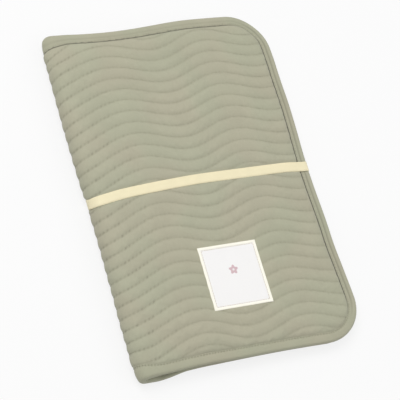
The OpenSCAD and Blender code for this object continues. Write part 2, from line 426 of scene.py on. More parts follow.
        top_side = (hills(x, TOP_EDGE) + 3.4 * MM * near_fold) * upper - 0.7 * MM * near_fold * top_end
        along = most * (top_side - 2.5 * MM * low_corner - top_corner)
        low_side = front * hills(x, LOW_EDGE_FRONT) + (1 - front) * hills(x, LOW_EDGE_BACK)
        along = along + (low_side - 2.8 * MM * near_fold) * low_end - 1.6 * MM * upper + 1.9 * MM * lower
        return np.stack([x + sideways, y + along, np.maximum(z, 0.2 * MM)], -1)


# ---------------------------------------------------------------- meshes

# The finished cover laid open, which the quilting stitches lie on
SHAPES = {}


def make_piece(name, points, faces, flat=None, sharp=35):
    """A mesh object from points and faces. flat is each point's place on the opened cloth, for its weave."""
    mesh = bpy.data.meshes.new(name)
    mesh.from_pydata(np.asarray(points).tolist(), [], faces)
    mesh.update()
    if flat is not None:
        layer = mesh.uv_layers.new(name="cloth")
        layer.data.foreach_set("uv", np.asarray(flat, np.float32)[corners(mesh), :2].ravel())
    mesh.shade_smooth()
    mesh.set_sharp_from_angle(angle=math.radians(sharp))
    piece = bpy.data.objects.new(name, mesh)
    bpy.context.scene.collection.objects.link(piece)
    return piece


def corners(mesh):
    """Numbers of the points at the corners of a mesh's faces."""
    numbers = np.empty(len(mesh.loops), np.int32)
    mesh.loops.foreach_get("vertex_index", numbers)
    return numbers


def coordinates(mesh):
    """A mesh's points as an array."""
    points = np.empty(len(mesh.vertices) * 3, np.float32)
    mesh.vertices.foreach_get("co", points)
    return points.reshape(-1, 3).astype(float)


def add_value(mesh, name, values, kind="FLOAT", part="value"):
    """Stores one number or vector per point of a mesh, for its material or its stitches."""
    mesh.attributes.new(name, kind, "POINT").data.foreach_set(part, np.asarray(values, np.float32).ravel())


def evaluated(piece):
    """A piece after its modifiers."""
    return piece.evaluated_get(bpy.context.evaluated_depsgraph_get())


def finish_with(piece, material, slot, *nodes):
    """Gives a piece its material, and hides the CAD nodes that it stands for. slot is not used."""
    piece.data.materials.clear()
    piece.data.materials.append(material)
    if nodes:
        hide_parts(*nodes)


def finish_half(piece, side, material, slot, layer=None):
    """Finishes a piece of one half, which stands for a layer of the CAD, and bakes its transform
    into its mesh."""
    finish_with(piece, material, slot, *(f"{panel}_{layer}" for panel in PANELS[side] if layer))
    if side == FRONT:
        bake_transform(piece)
    else:
        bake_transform(piece)


def grid(first, second):
    """Every pair of a first and a second number, row by row."""
    return np.stack(np.meshgrid(first, second, indexing="ij"), -1).reshape(-1, 2)


def grid_faces(rows, columns, closed_rows=False, closed_columns=False):
    """Four-sided faces between points numbered row by row."""
    i, j = grid(np.arange(rows - (not closed_rows)), np.arange(columns - (not closed_columns))).T
    near, far = i * columns, (i + 1) % rows * columns
    right = (j + 1) % columns
    return np.stack([near + j, far + j, far + right, near + right], -1)


def rim_of(faces):
    """Points round the edge of an open patch of faces, in order."""
    edges = np.concatenate([faces[:, [k, (k + 1) % 4]] for k in range(4)])
    present = set(map(tuple, edges.tolist()))
    following = {a: b for a, b in present if (b, a) not in present}
    start = min(following)
    rim = [start]
    while following[rim[-1]] != start:
        rim.append(following[rim[-1]])
    if len(rim) != len(following):
        raise RuntimeError("the patch has more than one edge")
    return np.array(rim)


def wall(rim, below):
    """Faces that join a rim to the points below it."""
    return np.stack([np.roll(rim, -1), rim, below, np.roll(below, -1)], -1).tolist()


def compact(points, faces):
    """Leaves out the points that no face uses."""
    used = np.unique(faces)
    number = np.full(len(points), -1)
    number[used] = np.arange(len(used))
    return points[used], number[faces]


def patch(pad, side, cell, inset):
    """A flat patch of one half of the pad, from the middle of the fold to inset: places and faces."""
    columns = int(pad.reach / cell) + 2
    rows = 2 * (int(pad.end / cell) + 1) + 1
    places = grid(np.arange(columns) * cell * side, (np.arange(rows) - rows // 2) * cell)
    faces = grid_faces(columns, rows)[:, ::side]
    return compact(places, faces[pad.inset(*places[faces].mean(1).T) > inset])


def closed_layer(pad, fine, faces, other, cell=9 * MM, inward=False):
    """Closes a layer of cloth. fine is its well-made face as (s, y, h), other gives the height of its plain
    face, which is made of larger cells, and inward says that the fine face is the layer's inner one."""
    rim = rim_of(faces)
    edge = fine[rim, :2]
    side = np.sign(fine[:, 0].mean())
    inner = grid(np.arange(cell, pad.reach, cell) * side, np.arange(-pad.end, pad.end, cell))
    inner = inner[pad.inset(*inner.T) > cell + 4 * MM]
    plain = np.concatenate([edge, inner])
    count = len(rim)
    edges = [(k, (k + 1) % count) for k in range(count)]
    made, _, triangles, _, _, _ = delaunay_2d_cdt([Vector(p) for p in plain / MM], edges, [], 1, 1e-6)
    if len(made) != len(plain):
        raise RuntimeError("the plain face lost its edge")
    start = len(fine)
    flat = np.concatenate([fine, np.column_stack([plain, other(*plain.T)])])
    lids = [[start + k for k in reversed(t)] for t in triangles]
    every = faces.tolist() + wall(rim, start + np.arange(count)) + lids
    if inward:
        every = [f[::-1] for f in every]
    return flat, every


# ---------------------------------------------------------------- trees of nodes

class Value:
    """A number, colour or shape in a tree of nodes, so that its maths reads as arithmetic."""

    def __init__(self, nodes, socket):
        self.nodes = nodes
        self.socket = socket

    def maths(self, operation, *others):
        return self.nodes.maths(operation, self, *others)

    def __add__(self, other):
        return self.maths("ADD", other)

    def __sub__(self, other):
        return self.maths("SUBTRACT", other)

    def __rsub__(self, other):
        return self.nodes.maths("SUBTRACT", other, self)

    def __mul__(self, other):
        return self.maths("MULTIPLY", other)

    def __pow__(self, other):
        return self.maths("POWER", other)

    __radd__ = __add__
    __rmul__ = __mul__

    def size(self):
        return self.maths("ABSOLUTE")

    def clamped(self):
        return self.nodes.node("ShaderNodeClamp", {0: self})

    def sine(self):
        return self.maths("SINE")

    def wave(self, length):
        """A sine wave of this length."""
        return (self * (TURN / length)).sine()

    def step(self, low, high):
        """0 below low, 1 above high, smooth between them."""
        return self.nodes.node("ShaderNodeMapRange", {0: self, 1: low, 2: high, 3: 0.0, 4: 1.0},
                               interpolation_type="SMOOTHSTEP")


class Nodes:
    """Builds a tree of nodes."""

    def __init__(self, tree):
        self.tree = tree
        self.tree.nodes.clear()

    def node(self, kind, inputs=None, output=0, **settings):
        """Adds a node and gives one of its outputs."""
        made = self.tree.nodes.new(kind)
        for key, value in settings.items():
            setattr(made, key, value)
        for key, value in (inputs or {}).items():
            socket = made.inputs[key]
            if isinstance(value, Value):
                self.tree.links.new(value.socket, socket)
            elif isinstance(value, tuple) and len(socket.default_value) == 4:
                socket.default_value = (*value, 1)
            else:
                socket.default_value = value
        return Value(self, made.outputs[output]) if made.outputs else None

    def others(self, value):
        """Every output of a value's node, by name."""
        return {socket.name: Value(self, socket) for socket in value.socket.node.outputs}

    def maths(self, operation, *inputs):
        return self.node("ShaderNodeMath", dict(enumerate(inputs)), operation=operation)

    def noise(self, where, size, detail=2.0, stretch=(1, 1, 1)):
        """Cloudy noise whose clouds are about size metres across."""
        scale = tuple(s / size for s in stretch)
        scaled = self.node("ShaderNodeMapping", {"Vector": where, "Scale": scale})
        return self.node("ShaderNodeTexNoise", {"Vector": scaled, "Scale": 1.0, "Detail": detail})

    def local(self):
        """Place in the piece's own space."""
        return self.node("ShaderNodeTexCoord", output="Object")

    def tint(self, tone, factor, other):
        """A colour mixed towards another by a factor."""
        return self.node("ShaderNodeMix", {0: factor, 6: tone, 7: other}, output=2, data_type="RGBA",
                         clamp_factor=True)

    def seen_by_eye(self):
        """1 for camera, mirror and glass rays, which then show the white background."""
        rays = self.others(self.node("ShaderNodeLightPath"))
        return (rays["Is Camera Ray"] + rays["Is Glossy Ray"] + rays["Is Transmission Ray"]).clamped()

    def mixed(self, factor, first, second, end):
        """Ends the tree with a mix of two shaders."""
        shader = self.node("ShaderNodeMixShader", {0: factor, 1: first, 2: second})
        self.node(end, {"Surface": shader})


class Finish(Nodes):
    """A material made of nodes."""

    def __init__(self, name):
        self.material = bpy.data.materials.new(name)
        self.material.use_nodes = True
        super().__init__(self.material.node_tree)

    def cloth(self):
        """Place on the opened cloth, in metres, and its two parts: across and along."""
        uv = self.node("ShaderNodeUVMap", uv_map="cloth")
        parts = self.others(self.node("ShaderNodeSeparateXYZ", {0: uv}))
        return uv, parts["X"], parts["Y"]

    def close(self, base, height, distance, **constants):
        """Ends the material: base colour, a height for its bump, and constants of the shader."""
        bump = self.node("ShaderNodeBump", {"Height": height, "Distance": distance, "Strength": 1.0})
        inputs = {"Base Color": base, "Normal": bump}
        for key, value in constants.items():
            inputs[key.replace("_", " ").title().replace("Ior", "IOR")] = value
        shader = self.node("ShaderNodeBsdfPrincipled", inputs)
        self.node("ShaderNodeOutputMaterial", {"Surface": shader})
        return self.material


# ---------------------------------------------------------------- stitches

STITCH_INPUTS = {"Geometry": "Geometry", "Stitch length": "Float", "Thread thickness": "Float",
                 "Unevenness": "Float", "Seed": "Int", "Material": "Material"}


def stitch_tree():
    """Geometry nodes that lay one stitch at every point, along the point's run."""
    tree = bpy.data.node_groups.get("Stitches")
    if tree:
        return tree
    tree = bpy.data.node_groups.new("Stitches", "GeometryNodeTree")
    tree.is_modifier = True
    for name, kind in STITCH_INPUTS.items():
        tree.interface.new_socket(name=name, in_out="INPUT", socket_type=f"NodeSocket{kind}")
    tree.interface.new_socket(name="Geometry", in_out="OUTPUT", socket_type="NodeSocketGeometry")
    n = Nodes(tree)
    given = n.others(n.node("NodeGroupInput"))
    run = n.node("GeometryNodeInputNamedAttribute", {"Name": "run"}, data_type="FLOAT_VECTOR")
    turned = n.node("FunctionNodeAlignRotationToVector", {"Vector": run}, axis="Z")
    uneven = given["Unevenness"]
    share = n.node("FunctionNodeRandomValue", {2: 1.0 - uneven, 3: 1.0 + uneven, "Seed": given["Seed"]},
                   output=1, data_type="FLOAT")
    thread = given["Thread thickness"]
    size = n.node("ShaderNodeCombineXYZ", {0: thread, 1: thread, 2: given["Stitch length"] * share})
    grain = n.node("GeometryNodeMeshUVSphere", {"Segments": 6, "Rings": 5, "Radius": 0.5})
    laid = n.node("GeometryNodeInstanceOnPoints", {
        "Points": given["Geometry"], "Instance": grain, "Rotation": turned, "Scale": size,
    })
    real = n.node("GeometryNodeRealizeInstances", {"Geometry": laid})
    smooth = n.node("GeometryNodeSetShadeSmooth", {"Geometry": real})
    done = n.node("GeometryNodeSetMaterial", {"Geometry": smooth, "Material": given["Material"]})
    n.node("NodeGroupOutput", {"Geometry": done})
    return tree


def sew(name, places, runs, stitch_l, thread_t, material, seed):
    """A piece of separate stitches, one at each place, along its run."""
    mesh = bpy.data.meshes.new(name)
    mesh.from_pydata(np.asarray(places).tolist(), [], [])
    add_value(mesh, "run", runs, "FLOAT_VECTOR", "vector")
    piece = bpy.data.objects.new(name, mesh)
    bpy.context.scene.collection.objects.link(piece)
    modifier = piece.modifiers.new("Stitches", "NODES")
    modifier.node_group = stitch_tree()
    values = {"Stitch length": stitch_l, "Thread thickness": thread_t, "Unevenness": 0.08, "Seed": seed,
              "Material": material}
    for item in modifier.node_group.interface.items_tree:
        if item.in_out == "INPUT" and item.name in values:
            modifier[item.identifier] = values[item.name]
    mesh.update_tag()
    made = bpy.data.meshes.new_from_object(evaluated(piece))
    if not made.polygons:
        raise RuntimeError(f"{name} came out empty")
    piece.modifiers.remove(modifier)
    piece.data = made
    made.name = name
    return piece


def between(lines):
    """Places and runs of stitches, one between each two points of each line."""
    places = [(line[1:] + line[:-1]) / 2 for line in lines]
    return np.concatenate(places), np.concatenate([np.diff(line, axis=0) for line in lines])


# ---------------------------------------------------------------- materials

def shade(tone, factor):
    """A colour made lighter or darker."""
    return tuple(min(1.0, c * factor) for c in tone)


def painted_seam_shadow(pad, across, along):
    """Painted shadow line: 1 where the cover runs in under the binding, wider and stronger at the free edge,
    and weaker at the low end and at the upper corner."""
    r = pad.sizes.corner_r
    qx = across.size() - (pad.reach - r)
    qy = along.size() - (pad.end - r)
    outside = (qx.maths("MAXIMUM", 0.0) ** 2 + qy.maths("MAXIMUM", 0.0) ** 2) ** 0.5
    d = r - outside - qx.maths("MAXIMUM", qy).maths("MINIMUM", 0.0)
    free = (qx - qy).step(-5 * MM, 5 * MM)
    off = (d - pad.tape.width).size()
    near = 1 - off.step(free * 0.3 * MM + 0.35 * MM, free * 0.35 * MM + 1.35 * MM)
    low = 1 - along.step(-165 * MM, -125 * MM)
    corner = qx.step(-5 * MM, 15 * MM) * qy.step(-5 * MM, 15 * MM)
    return near * (1 - low * 0.9) * (1 - corner * 0.6) * (free * 0.23 + 0.77)


def jersey(name, tone, pad=None):
    """Knitted cotton: fine wales, soft mottling, and painted shade where it is drawn in by stitches. pad is
    given for the cover, which has a painted shadow line where it runs in under the binding."""
    f = Finish(name)
    uv, across, along = f.cloth()
    wale = across.wave(1.1 * MM)
    course = (along * (TURN / (0.8 * MM)) + wale * 1.3).sine()
    fibre = f.noise(uv, 0.35 * MM, 3.0)
    cloud = f.noise(uv, 26 * MM)
    fleck = f.noise(uv, 1.6 * MM)
    patches = f.noise(uv, 55 * MM, 1.0).step(0.35, 0.65)
    sage = tuple(a * b for a, b in zip(tone, (0.978, 1.0, 0.99)))
    beige = tuple(a * b for a, b in zip(tone, (1.022, 0.995, 1.0)))
    base = f.tint(sage, patches, beige)
    base = f.tint(base, cloud * 0.14, (0.0, 0.0, 0.0))
    base = f.tint(base, (fleck - 0.35).clamped() * 0.35, shade(tone, 1.12))
    base = f.tint(base, (wale * course * 0.5 + 0.5) * 0.10, shade(tone, 0.8))
    painted_shade = f.node("ShaderNodeAttribute", output="Fac", attribute_name="painted_shade")
    # Painted shade: darker where the stitches draw the cover in, and on the binding at its inner edge,
    # crease and topstitch dimples
    base = f.tint(base, painted_shade.clamped(), shade(tone, 0.42))
    if pad:
        # Painted shadow: a thin dark line where the cover steps in under the binding
        base = f.tint(base, painted_seam_shadow(pad, across, along), shade(tone, 0.18))
    height = wale * 0.35 + course * 0.25 + fibre * 0.9
    return f.close(base, height, 0.055 * MM, roughness=0.92, sheen_weight=0.22, sheen_roughness=0.45,
                   specular_ior_level=0.18)


def sewing_thread(name, tone):
    """Twisted polyester thread."""
    f = Finish(name)
    ply = f.noise(f.local(), 0.3 * MM)
    base = f.tint(shade(tone, 0.86), ply, shade(tone, 1.14))
    return f.close(base, ply, 0.05 * MM, roughness=0.62, sheen_weight=0.1, specular_ior_level=0.35)


def coated_cotton(name, tone):
    """Plain weave under a thin wipe-clean coat."""
    f = Finish(name)
    uv, across, along = f.cloth()
    weave = across.wave(0.9 * MM) * along.wave(0.9 * MM)
    slub = f.noise(uv, 3.5 * MM, 3.0, stretch=(4, 1, 1))
    base = f.tint(shade(tone, 0.95), f.noise(uv, 40 * MM), shade(tone, 1.04))
    base = f.tint(base, (slub - 0.5).clamped() * 0.5, shade(tone, 0.86))
    base = f.tint(base, (weave * 0.5 + 0.5) * 0.12, shade(tone, 0.8))
    return f.close(base, weave * 0.4 + slub * 0.5, 0.05 * MM, roughness=0.55, coat_weight=0.08,
                   coat_roughness=0.4, specular_ior_level=0.4)


def fibre_fill(name, tone):
    """Matted polyester fibres."""
    f = Finish(name)
    strands = f.noise(f.local(), 2.5 * MM, 5.0, stretch=(1, 3, 1))
    base = f.tint(shade(tone, 0.9), strands, shade(tone, 1.05))
    return f.close(base, strands, 0.5 * MM, roughness=0.95, sheen_weight=0.3)


def ribbed_elastic(name, tone):
    """Woven elastic with fine ribs along it and a faint twill across them."""
    f = Finish(name)
    uv, along, across = f.cloth()
    rib = across.wave(1.25 * MM)
    twill = (along + across * 0.6).wave(1.9 * MM)
    fibre = f.noise(uv, 0.5 * MM)
    base = f.tint(shade(tone, 0.94), f.noise(uv, 14 * MM), shade(tone, 1.05))
    base = f.tint(base, (rib * 0.5 + 0.5) * 0.10, shade(tone, 0.82))
    base = f.tint(base, (twill * 0.5 + 0.5) * 0.07, shade(tone, 0.8))
    return f.close(base, rib * 0.5 + twill * 0.35 + fibre * 0.4, 0.07 * MM, roughness=0.6,
                   sheen_weight=0.15, specular_ior_level=0.3)


def satin(name, tone, motif=None):
    """Satin ribbon, fine threads across it, with a small woven flower if motif is a colour."""
    f = Finish(name)
    uv, across, along = f.cloth()
    thread = f.noise(uv, 0.5 * MM, stretch=(0.2, 2, 1))
    base = f.tint(shade(tone, 0.97), thread, shade(tone, 1.03))
    height = along.wave(0.45 * MM) * 0.3 + thread * 0.5
    if motif:
        up = along - 6 * MM
        far = (across * across + up * up) ** 0.5
        petals = (up.maths("ARCTAN2", across) * 5 + 0.3).sine() * 0.9 * MM + 4.0 * MM
        weave = 0.75 + along.wave(0.6 * MM) * 0.12
        inside = (1 - (far - petals).step(-0.15 * MM, 0.25 * MM)) * weave
        heart = 1 - far.step(1.0 * MM, 1.35 * MM)
        base = f.tint(base, inside, motif)
        base = f.tint(base, heart * 0.8, shade(tone, 0.95))
        height = height + inside * 1.4
    return f.close(base, height, 0.04 * MM, roughness=0.42, sheen_weight=0.05, specular_ior_level=0.45)


def pale_floor(name):
    """A white sweep that keeps the shadow, and reads as white to the camera."""
    f = Finish(name)
    base = f.tint((0.80, 0.80, 0.80), f.noise(f.local(), 60 * MM), (0.82, 0.82, 0.82))
    lit = f.node("ShaderNodeBsdfDiffuse", {"Color": base})
    glow = f.node("ShaderNodeEmission", {"Color": (1.0, 1.0, 1.0), "Strength": 1.0})
    f.mixed(f.seen_by_eye() * 0.8, lit, glow, "ShaderNodeOutputMaterial")
    return f.material


# ---------------------------------------------------------------- pieces

class Maker:
    """What every operator of the pad shares."""

    bl_options = {"REGISTER", "UNDO"}

    def execute(self, context):
        self.make(context.scene, Pad(context.scene), context.scene.pad_colours)
        return {"FINISHED"}


class PAD_OT_cover(Maker, bpy.types.Operator):
    """Quilt the outer cover: fill it by cloth simulation between its rows of stitches, then fold it"""

    bl_idname = "pad.cover"
    bl_label = "Quilted cover"

    # Lines of points from one row of quilting to the next
    lines = 6
    # Blender's cloth settings for the jersey and its filling
    cloth = {
        "quality": 5, "mass": 0.0005, "air_damping": 1, "shear_stiffness": 0.5, "bending_stiffness": 0.01,
        "tension_stiffness": 1, "compression_stiffness": 1, "use_pressure": True,
        "uniform_pressure_force": 120, "shrink_min": -0.04, "vertex_group_mass": "held", "pin_stiffness": 10,
    }
    # How far a point may move as the cover fills, inwards and outwards
    least_move = -0.6 * MM
    most_move = 0.75 * MM

    def flat_sheet(self, pad):
        """The whole cover laid open, with its rows drawn in. Each point has its place and height, whether it
        is held, whether it is a stitch's hole, how full the cover is there, and its row's depth."""
        column = pad.quilt.pitch / 2
        count = int(pad.reach / column) + 1
        last = pad.last_row() * self.lines
        steps = np.arange(-count, count + 1)
        subs = np.arange(-last, last + 1)
        step, sub = grid(steps, subs).T
        s = step * column
        y = pad.row_y(sub / self.lines, s)
        share = sub % self.lines / self.lines
        full = np.sin(math.pi * share) ** 0.7
        depth = pad.row_depth(s, y)
        hole = (share == 0) & (step % 2 == 0)
        held = hole | (pad.inset(s, y) < pad.tape.width + 0.2 * MM) | (pad.label_share(s, y) > 0.5)
        h = pad.crest(s, y) - depth * (1 - full) - pad.quilt.slack * full * depth / pad.quilt.depth
        h = h - 0.15 * MM * hole * (depth > 0.3 * MM)
        marks = np.column_stack([s, y, h, held, hole, full, depth])
        faces = grid_faces(len(steps), len(subs))
        return compact(marks, faces[pad.inset(*marks[faces, :2].mean(1).T) > 4.2 * MM])

    def fill(self, piece, pad, held):
        """Fills the cover by cloth simulation with pressure, held at its stitches."""
        group = piece.vertex_groups.new(name="held")
        group.add(np.flatnonzero(held).tolist(), 1.0, "REPLACE")
        modifier = piece.modifiers.new("Cloth", "CLOTH")
        for key, value in self.cloth.items():
            setattr(modifier.settings, key, value)
        modifier.settings.effector_weights.gravity = 0
        modifier.collision_settings.use_collision = False
        modifier.point_cache.frame_start = 1
        modifier.point_cache.frame_end = pad.quilt.frames
        for number in range(1, pad.quilt.frames + 1):
            bpy.context.scene.frame_set(number)
        filled = coordinates(evaluated(piece).data)
        piece.modifiers.remove(modifier)
        bpy.context.scene.frame_set(1)
        return filled

    def make(self, scene, pad, colours):
        marks, faces = self.flat_sheet(pad)
        start = marks[:, :3]
        s, y, _, held, _, full, depth = marks.T
        piece = make_piece("cover_flat", start, faces.tolist())
        move = np.clip(self.fill(piece, pad, held) - start, self.least_move, self.most_move)
        if not np.isfinite(move).all() or np.abs(move).max() < 0.1 * MM:
            raise RuntimeError("the cover didn't fill")
        points = start + move
        points[:, 2] = pad.pressed(*points.T)
        piece.data.vertices.foreach_set("co", points.astype(np.float32).ravel())
        piece.data.update()
        # Painted shade in the rows of quilting and at the stitch holes, kept per point for the jersey
        add_value(piece.data, "painted_shade", self.painted_groove_shade(marks))
        fine, faces, painted_shade = self.subdivided(piece)
        bpy.data.objects.remove(piece)
        SHAPES["cover"] = BVHTree.FromPolygons(fine.tolist(), faces.tolist())
        material = jersey("cover_jersey", tuple(colours.cover), pad)
        middles = fine[faces].mean(1)
        for side, name in SIDES:
            used = faces[middles[:, 0] * side > 0]
            half, half_faces = compact(fine, used)
            flat, every = closed_layer(pad, half, half_faces, pad.cover_under)
            made = make_piece(f"cover_{name}", pad.place(*flat.T), every, flat, sharp=55)
            plain = np.zeros(len(flat) - len(half))
            add_value(made.data, "painted_shade", np.concatenate([painted_shade[np.unique(used)], plain]))
            finish_half(made, side, material, "cover", "cover")

    def painted_groove_shade(self, marks):
        """Painted shade where the cover is drawn in: most at the stitch holes, a little along the rows."""
        s, y, _, _, hole, full, depth = marks.T
        stretched = 1 - ease(25 * MM, 75 * MM, np.abs(s))
        uneven = np.random.default_rng(15).uniform(0.35, 1.35, len(s))
        uneven *= 1 + 0.35 * ripple(s + 0.7 * y, 34 * MM, 16) * ripple(y - 0.5 * s, 47 * MM, 17)
        # Painted shade along each row and at each stitch hole, stronger near the fold
        row = (1 - full) ** 2 * (0.12 - 0.05 * stretched)
        dots = row + (0.10 + 0.28 * stretched) * hole * uneven
        return np.clip(dots * np.clip(depth / (0.5 * MM), 0, 1), 0, 1)

    def subdivided(self, piece):
        """The flat cover after one subdivision: points, faces and painted shade."""
        modifier = piece.modifiers.new("Fine", "SUBSURF")
        modifier.levels = modifier.render_levels = 1
        seen = evaluated(piece).data
        painted_shade = np.empty(len(seen.vertices), np.float32)
        seen.attributes["painted_shade"].data.foreach_get("value", painted_shade)
        return coordinates(seen), corners(seen).reshape(-1, 4), painted_shade


class PAD_OT_quilting(Maker, bpy.types.Operator):
    """Lay the quilting stitches in the rows of the cover"""

    bl_idname = "pad.quilting"
    bl_label = "Quilting stitches"

    def make(self, scene, pad, colours):
        if "cover" not in SHAPES:
            raise RuntimeError("make the cover first")
        thread = sewing_thread("sage_thread", tuple(colours.thread))
        steps = np.arange(int(pad.reach / pad.quilt.pitch)) + 0.5
        rows = np.arange(-pad.last_row(), pad.last_row() + 1)
        half = 0.4 * pad.quilt.pitch
        for side, name in SIDES:
            s, row = grid(side * steps * pad.quilt.pitch, rows).T
            y = pad.row_y(row, s)
            clear = pad.inset(s, y) > pad.tape.width + 1.2 * MM
            clear &= np.abs(y - pad.band_y(s)) > pad.band.width / 2 + 0.5 * MM
            clear &= pad.label_share(s, y, 1.5 * MM) < 0.5
            s, row = s[clear], row[clear]
            start, middle, stop = (self.on_cover(pad, s + off, row, up)
                                   for off, up in ((-half, 0), (0, 0.05 * MM), (half, 0)))
            made = sew(f"quilting_stitches_{name}", middle, stop - start, STITCH_SHARE * pad.quilt.pitch,
                       pad.quilt.thread_t, thread, 51 + side)
            finish_half(made, side, thread, "thread")

    def on_cover(self, pad, s, row, up):
        """Points of the rows on the finished cover. A ray that slips between two faces is cast again beside
        them."""
        y = pad.row_y(row, s)
        down = Vector((0, 0, -1))
        heights = []
        for a, b in zip(s, y):
            tops = (Vector((a + k, b + 0.6 * k, 1)) for k in (0, 1e-5, -2e-5))
            hit = next((h for h in (SHAPES["cover"].ray_cast(top, down)[0] for top in tops) if h), None)
            if hit is None:
                raise RuntimeError(f"the cover has no height at {a:.4f}, {b:.4f}")
            heights.append(hit.z)
        return pad.place(s, y, np.array(heights) + up)


class PAD_OT_binding(Maker, bpy.types.Operator):
    """Turn the binding tape over the edge of each half, puckered by its topstitching"""

    bl_idname = "pad.binding"
    bl_label = "Binding tape"

    # The tape's face, in mm: distance back from its inner edge, and rise above the bound edge's flat face
    face = ((0.05, -0.25), (0.5, 0.02), (1.1, -0.12), (1.5, -0.2), (2.1, -0.1), (3.0, 0.08), (3.7, 0.12),
            (4.4, 0.14), (5.1, 0.14), (6.0, 0.1))

    def outline(self, pad, side, step):
        """Points round one half's bound edge, the way in from each, and the distance along."""
        r = pad.sizes.corner_r
        across, up = pad.reach - r, pad.end - r
        lengths = [across, math.pi / 2 * r, 2 * up, math.pi / 2 * r, across]
        marks = np.cumsum(lengths)
        along = np.linspace(0, marks[-1], int(marks[-1] / step))
        angle = -math.pi / 2
        for start in (marks[0], marks[2]):
            angle = angle + np.clip((along - start) / r, 0, math.pi / 2)
        centre_s = np.minimum(along, across) - np.maximum(along - marks[3], 0)
        centre_y = -up + np.clip(along - marks[1], 0, 2 * up)
        out = np.stack([np.cos(angle), np.sin(angle)], -1)
        points = np.stack([centre_s, centre_y], -1) + r * out
        return points * (side, 1), -out * (side, 1), along

    def profile(self, pad):
        """The turned tape's section as (distance in, height), anticlockwise."""
        w, t, full = pad.tape.width, pad.tape.thickness, pad.tape.bound_t
        nose = full / 2
        turns = np.linspace(math.pi / 2, 3 * math.pi / 2, 11)
        outer = [(w - back * MM, full + rise * MM) for back, rise in self.face]
        outer += [(nose + nose * math.cos(a), nose + nose * math.sin(a)) for a in turns]
        outer += [(w - back * MM, -rise * MM) for back, rise in self.face[::-1]]
        lip, deep = w - 0.2 * MM, nose + 1 * MM
        pocket = [(lip, t), (deep, t), (nose - 1.2 * MM, nose), (deep, full - t), (lip, full - t)]
        return np.array(outer + pocket)

    def make(self, scene, pad, colours):
        cloth = jersey("binding_jersey", tuple(colours.tape))
        thread = sewing_thread("tape_thread", shade(tuple(colours.tape), 0.97))
        tape = pad.tape
        section_d, section_h = self.profile(pad).T
        round_section = np.cumsum(np.hypot(np.diff(section_d, prepend=section_d[0]),
                                           np.diff(section_h, prepend=section_h[0])))
        outward = np.where(section_h > tape.bound_t / 2, 1, -1)
        count = len(section_d)
        for side, name in SIDES:
            points, inward, along = self.outline(pad, side, tape.pitch / 4)
            along = along[:, None]
            waver = 0.25 * MM * ripple(along, 38 * MM, 21 + side)
            d = section_d + waver * ease(5 * MM, tape.width, section_d)
            s = points[:, :1] + inward[:, :1] * d
            y = points[:, 1:] + inward[:, 1:] * d
            near = hill(d, tape.stitch_d, 4 * MM)
            pucker = tape.pucker * ripple(along + 0.5 * d, 7 * MM, 31 + side) * near
            dimple = hill(d, tape.stitch_d, 1.3 * MM) * (0.5 + 0.5 * np.cos(TURN * along / tape.pitch))
            low_end = ease(-130 * MM, -165 * MM, points[:, 1:])
            free = ease(pad.reach - 25 * MM, pad.reach - 8 * MM, np.abs(points[:, :1]))
            crease = hill(d, tape.crease_d, 1.6 * MM) * (outward > 0) * (0.35 + 0.65 * free) * (1 - low_end)
            h = section_h + pad.thickened * pad.lift(s) - pad.roll(s, d) * (1 - section_h / tape.bound_t)
            h = h + outward * (pucker - tape.dimple * dimple) - tape.crease_h * crease
            flat = np.stack([s, y, pad.pressed(s, y, h)], -1).reshape(-1, 3)
            faces = grid_faces(len(along), count, closed_columns=True)[:, ::-side].tolist()
            caps = [list(range(count))[::-side], list(range(len(flat) - count, len(flat)))[::side]]
            weave = np.stack(np.broadcast_arrays(along, round_section), -1).reshape(-1, 2)
            made = make_piece(f"binding_{name}", pad.place(*flat.T), faces + caps, weave, sharp=60)
            # Painted shade on the tape: a dark line at its inner edge where it steps over the cover, lighter
            # shade in its crease and at each topstitch dimple, weaker at the low end and the upper corner
            corner = ease(pad.end - 45 * MM, pad.end - 20 * MM, y)
            corner = corner * ease(pad.reach - 45 * MM, pad.reach - 20 * MM, np.abs(s))
            edge = ease(tape.width - 0.6 * MM, tape.width - 0.15 * MM, d)
            edge = edge * (1 - 0.9 * low_end) * (1 - 0.6 * corner)
            painted_dimple_shade = (0.12 + 0.4 * low_end) * dimple * near
            add_value(made.data, "painted_shade", np.maximum(np.maximum(edge, 0.5 * crease), painted_dimple_shade))
            finish_half(made, side, cloth, "binding", "binding")
            self.topstitch(pad, side, name, thread)

    def topstitch(self, pad, side, name, thread):
        """Topstitches on both faces of the binding, left out under the elastic."""
        points, inward, _ = self.outline(pad, side, pad.tape.pitch)
        s, y = (points + inward * pad.tape.stitch_d).T
        outer = pad.pressed(s, y, pad.bound(s)) - 0.1 * MM
        inner = pad.thickened * pad.lift(s) - pad.roll(s, pad.tape.stitch_d) + 0.12 * MM
        places, runs = between([pad.place(s, y, outer), pad.place(s, y, inner)])
        off = np.abs((y[1:] + y[:-1]) / 2 - pad.band_y(s[1:]))
        shown = np.concatenate([off >= pad.band.width / 2 + 1 * MM, np.ones(len(off), bool)])
        made = sew(f"binding_stitches_{name}", places[shown], runs[shown], pad.tape.pitch * 0.8,
                   pad.quilt.thread_t * 0.9, thread, 41 + side)
        finish_half(made, side, thread, "thread", "binding_thread")


class PAD_OT_wadding(Maker, bpy.types.Operator):
    """Make the wadding between the cover and the lining"""

    bl_idname = "pad.wadding"
    bl_label = "Wadding"

    def make(self, scene, pad, colours):
        material = fibre_fill("wadding_fibre", tuple(colours.wadding))

        def bottom(s, y):
            return pad.inner_face(s, y, 0) + pad.sizes.lining_t + 0.4 * MM

        for side, name in SIDES:
            places, faces = patch(pad, side, 4.5 * MM, 4.6 * MM)
            top = np.maximum(pad.cover_under(*places.T) - 0.05 * MM, bottom(*places.T) + 0.3 * MM)
            flat, every = closed_layer(pad, np.column_stack([places, top]), faces, bottom)
            made = make_piece(f"wadding_{name}", pad.place(*flat.T), every, flat)
            finish_half(made, side, material, "wadding", "wadding")


